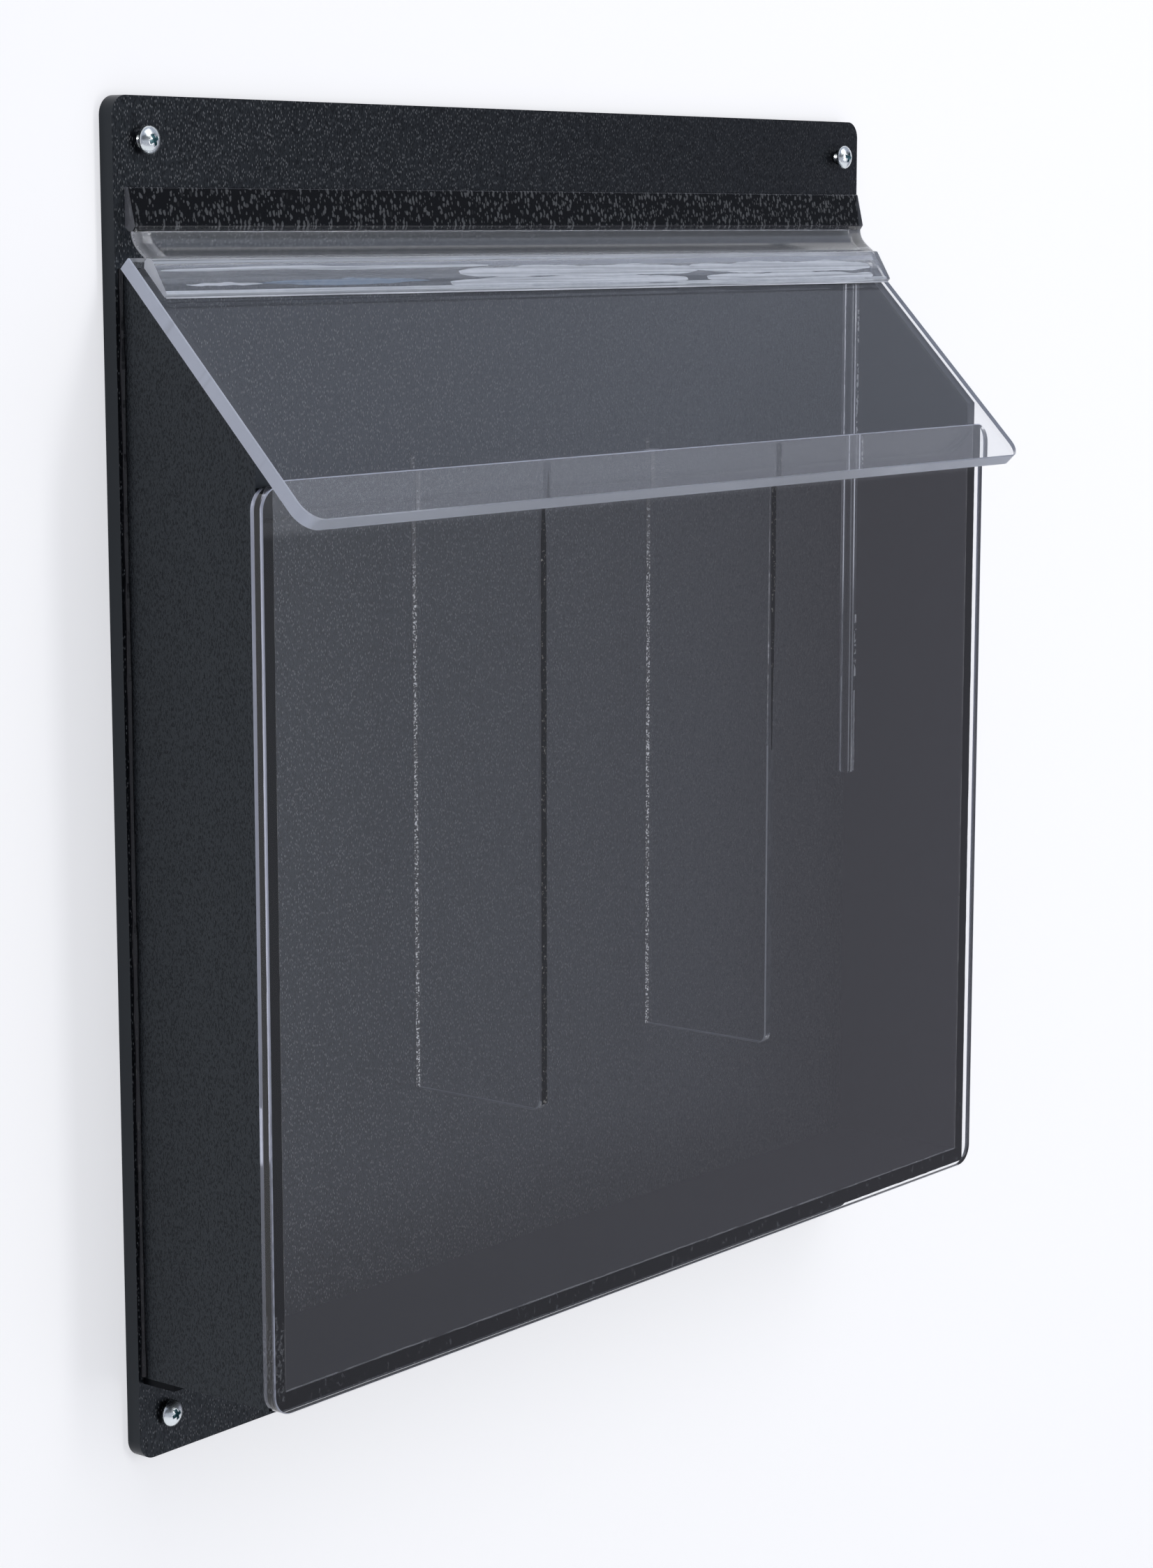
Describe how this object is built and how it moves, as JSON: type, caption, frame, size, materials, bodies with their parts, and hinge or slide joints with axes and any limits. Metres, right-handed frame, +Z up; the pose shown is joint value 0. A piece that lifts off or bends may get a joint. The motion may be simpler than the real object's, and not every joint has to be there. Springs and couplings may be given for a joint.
{
  "type": "wall mounted leaflet box",
  "caption": "Outdoor wall box with a black textured plate and sides, clear front and dividers for leaflets, and a sloping clear lid that lifts on a strip hinge",
  "frame": {"origin": "centre of the back plate's rear face, which lies on the wall", "axes": "+X to the right along the wall, +Y into the wall, +Z up"},
  "size_m": [0.33, 0.0926, 0.354],
  "materials": {
    "black_abs": "haircell textured sheet",
    "clear_acrylic": "polished clear sheet",
    "clear_pvc": "clear extrusion with faint draw lines",
    "zinc_steel": "bright zinc plate"
  },
  "bodies": {
    "case": {"back_plate": "black_abs", "left_side": "black_abs", "right_side": "black_abs", "floor_panel": "black_abs", "under_strip": "black_abs", "front_panel": "clear_acrylic", "divider_left": "clear_acrylic", "divider_right": "clear_acrylic", "corner_strip_left": "clear_acrylic", "corner_strip_right": "clear_acrylic", "hinge_upper_leaf": "clear_pvc", "hinge_web": "clear_pvc", "mounting_screws": "zinc_steel"},
    "lid": {"lid_panel": "clear_acrylic", "hinge_lower_leaf": "clear_pvc"}
  },
  "joints": [
    {"name": "lid_hinge", "type": "hinge", "parent": "case", "child": "lid", "pos_m": [0, -0.0079, 0.1395], "axis": [-1, 0, 0], "range_deg": [0, 105], "deforming": ["hinge_web"]}
  ]
}
